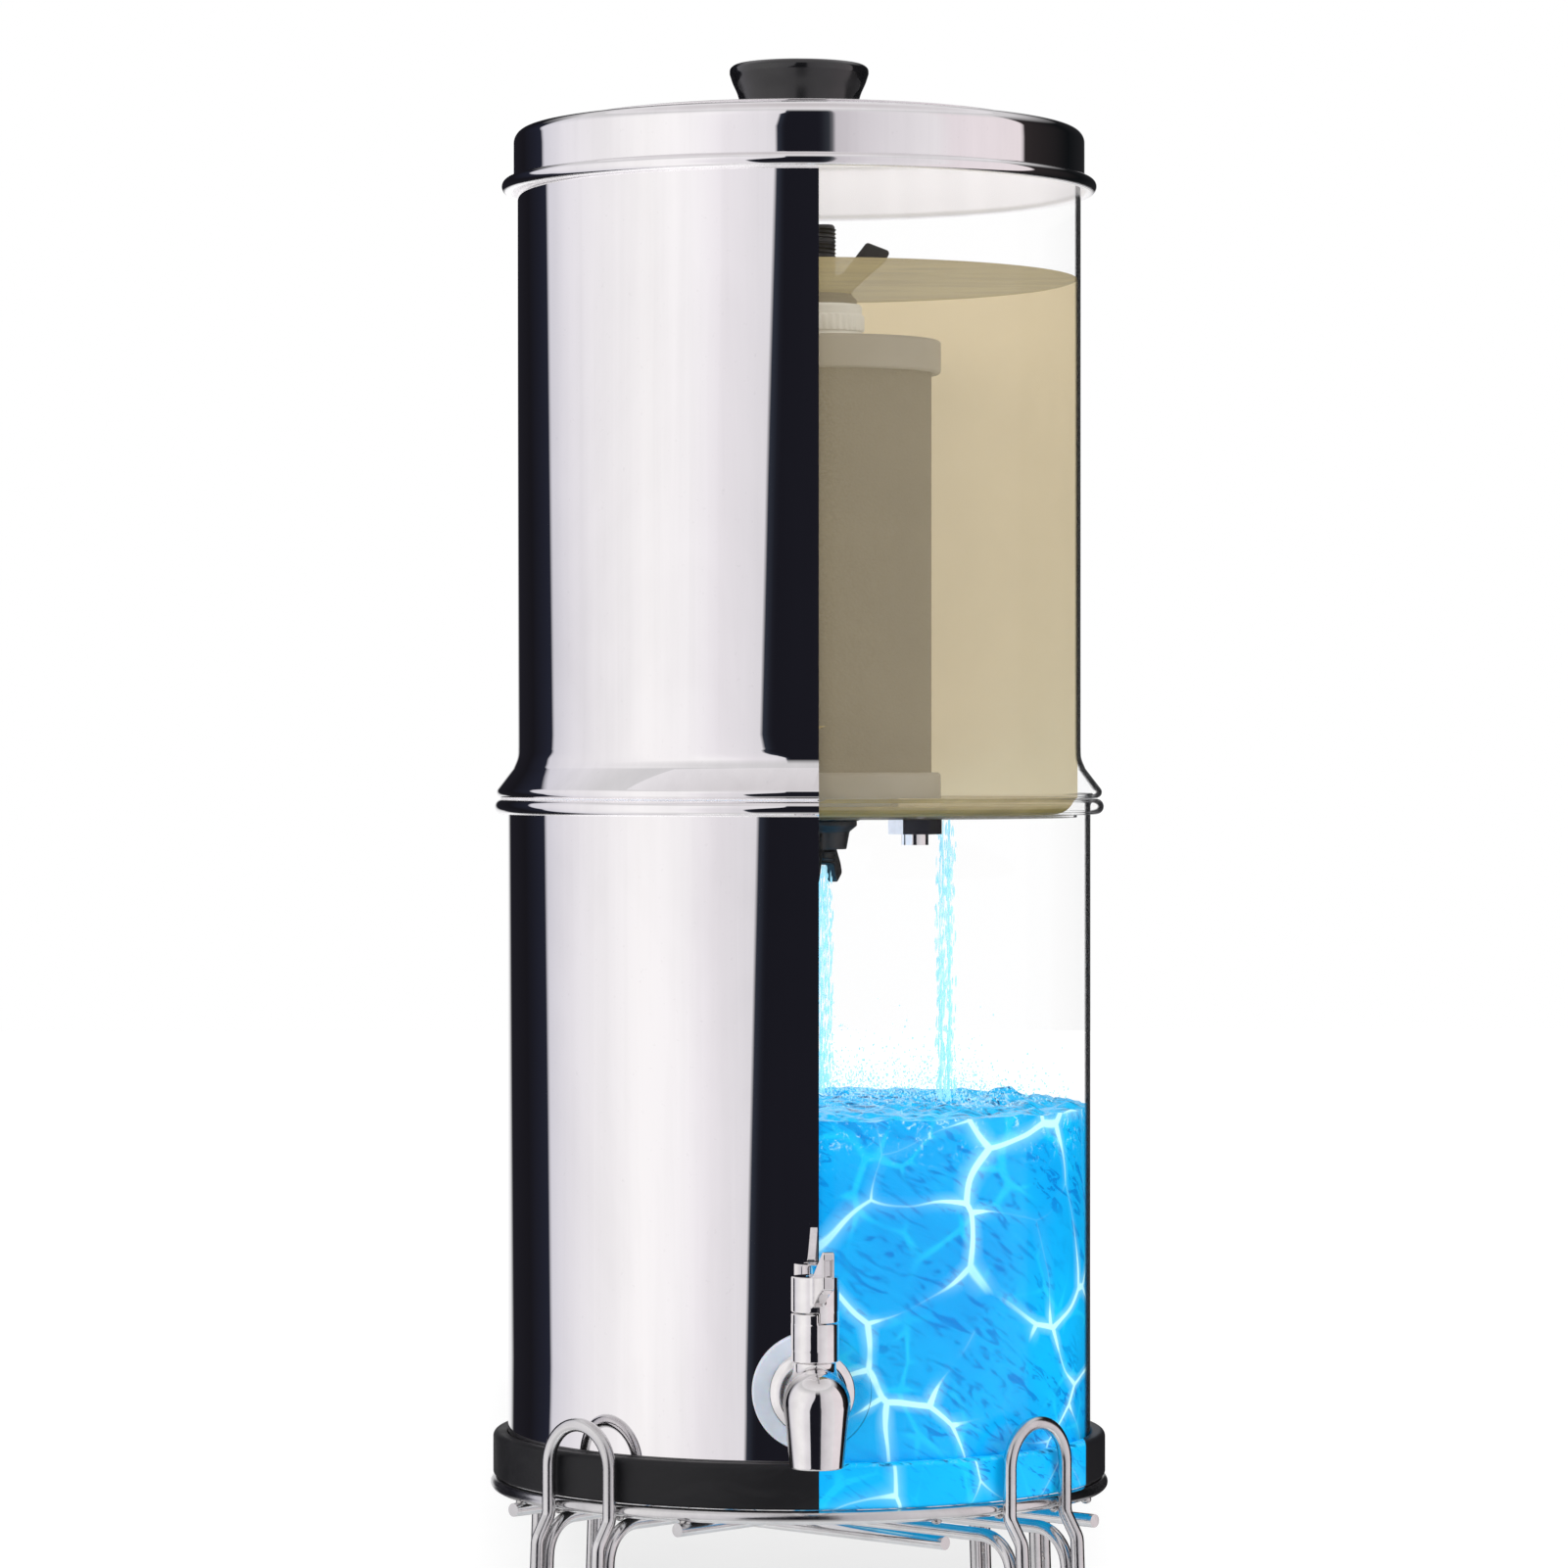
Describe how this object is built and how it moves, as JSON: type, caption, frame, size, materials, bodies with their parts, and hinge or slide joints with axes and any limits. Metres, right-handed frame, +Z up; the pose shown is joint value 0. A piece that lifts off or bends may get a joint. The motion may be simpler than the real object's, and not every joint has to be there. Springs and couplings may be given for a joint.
{
  "type": "gravity water filter with tap",
  "caption": "Stainless gravity water filter: two stacked round chambers, lid with black knob, lever tap, filter elements inside, on a bent-wire stand.",
  "frame": {"origin": "on the floor, on the common axis of the chambers and the stand", "axes": "+Z up along the axis of the chambers, the tap points along -Y, +X to the right of someone facing the tap"},
  "size_m": [0.2332, 0.2826, 0.6917],
  "materials": {
    "steel": "polished bright wire",
    "mirror_steel": "mirror-polished stainless sheet",
    "tap_metal": "polished casting",
    "black_rubber": "matt",
    "silicone": "translucent satin",
    "filter_block": "porous",
    "filter_cap": "satin",
    "white_plastic": "satin",
    "dark_plastic": "satin",
    "knob_plastic": "gloss"
  },
  "bodies": {
    "stand": {"stand_hoop": "steel", "leg_loop_front_left": "steel", "leg_loop_front_right": "steel", "leg_loop_rear_right": "steel", "leg_loop_rear_left": "steel", "support_wires_upper": "steel", "support_wires_lower": "steel", "grid_bars_upper": "steel", "grid_bars_lower": "steel", "foot_front_left": "black_rubber", "foot_front_right": "black_rubber", "foot_rear_right": "black_rubber", "foot_rear_left": "black_rubber"},
    "lower_vessel": {"base_ring": "black_rubber", "lower_chamber": "mirror_steel", "tap_shank": "tap_metal", "tap_washer_outer": "silicone", "tap_washer_inner": "silicone", "tap_nut": "tap_metal", "tap_body": "tap_metal", "tap_bonnet": "tap_metal"},
    "tap_lever": {"tap_plug": "tap_metal", "tap_orings": "black_rubber", "tap_handle": "tap_metal", "tap_handle_screw": "tap_metal"},
    "upper_vessel": {"upper_chamber": "mirror_steel", "chamber_floor": "mirror_steel", "element_a_bottom_cap": "filter_cap", "element_a_block": "filter_block", "element_a_top_cap": "filter_cap", "element_a_stem": "dark_plastic", "element_a_spacer": "white_plastic", "element_a_gaskets": "black_rubber", "element_b_bottom_cap": "filter_cap", "element_b_block": "filter_block", "element_b_top_cap": "filter_cap", "element_b_stem": "dark_plastic", "element_b_spacer": "white_plastic", "element_b_gaskets": "black_rubber", "blanking_plug": "tap_metal", "plug_gasket": "black_rubber", "plug_nut": "tap_metal"},
    "lid": {"lid_shell": "mirror_steel", "lid_knob": "knob_plastic", "knob_screw": "tap_metal", "knob_washer": "tap_metal"},
    "upper_nut_a": {"wing_nut_a_upper": "dark_plastic"},
    "lower_nut_a": {"wing_nut_a_lower": "dark_plastic"},
    "upper_nut_b": {"wing_nut_b_upper": "dark_plastic"},
    "lower_nut_b": {"wing_nut_b_lower": "dark_plastic"}
  },
  "joints": [
    {"name": "vessel_lift", "type": "slide", "parent": "stand", "child": "lower_vessel", "axis": [0, 0, 1], "range_m": [0, 0.08]},
    {"name": "tap_turn", "type": "hinge", "parent": "lower_vessel", "child": "tap_lever", "pos_m": [0, -0.137, 0.2022], "axis": [0, 0, 1], "range_deg": [0, 90]},
    {"name": "upper_lift", "type": "slide", "parent": "lower_vessel", "child": "upper_vessel", "axis": [0, 0, 1], "range_m": [0, 0.12]},
    {"name": "lid_lift", "type": "slide", "parent": "upper_vessel", "child": "lid", "axis": [0, 0, 1], "range_m": [0, 0.12]},
    {"name": "upper_nut_a_turn", "type": "hinge", "parent": "upper_vessel", "child": "upper_nut_a", "pos_m": [0.01164, 0.05475, 0.6109], "axis": [0, 0, 1], "continuous": true},
    {"name": "lower_nut_a_turn", "type": "hinge", "parent": "upper_vessel", "child": "lower_nut_a", "pos_m": [0.01164, 0.05475, 0.4001], "axis": [0, 0, 1], "continuous": true},
    {"name": "upper_nut_b_turn", "type": "hinge", "parent": "upper_vessel", "child": "upper_nut_b", "pos_m": [-0.05323, -0.0173, 0.6109], "axis": [0, 0, 1], "continuous": true},
    {"name": "lower_nut_b_turn", "type": "hinge", "parent": "upper_vessel", "child": "lower_nut_b", "pos_m": [-0.05323, -0.0173, 0.4001], "axis": [0, 0, 1], "continuous": true}
  ]
}
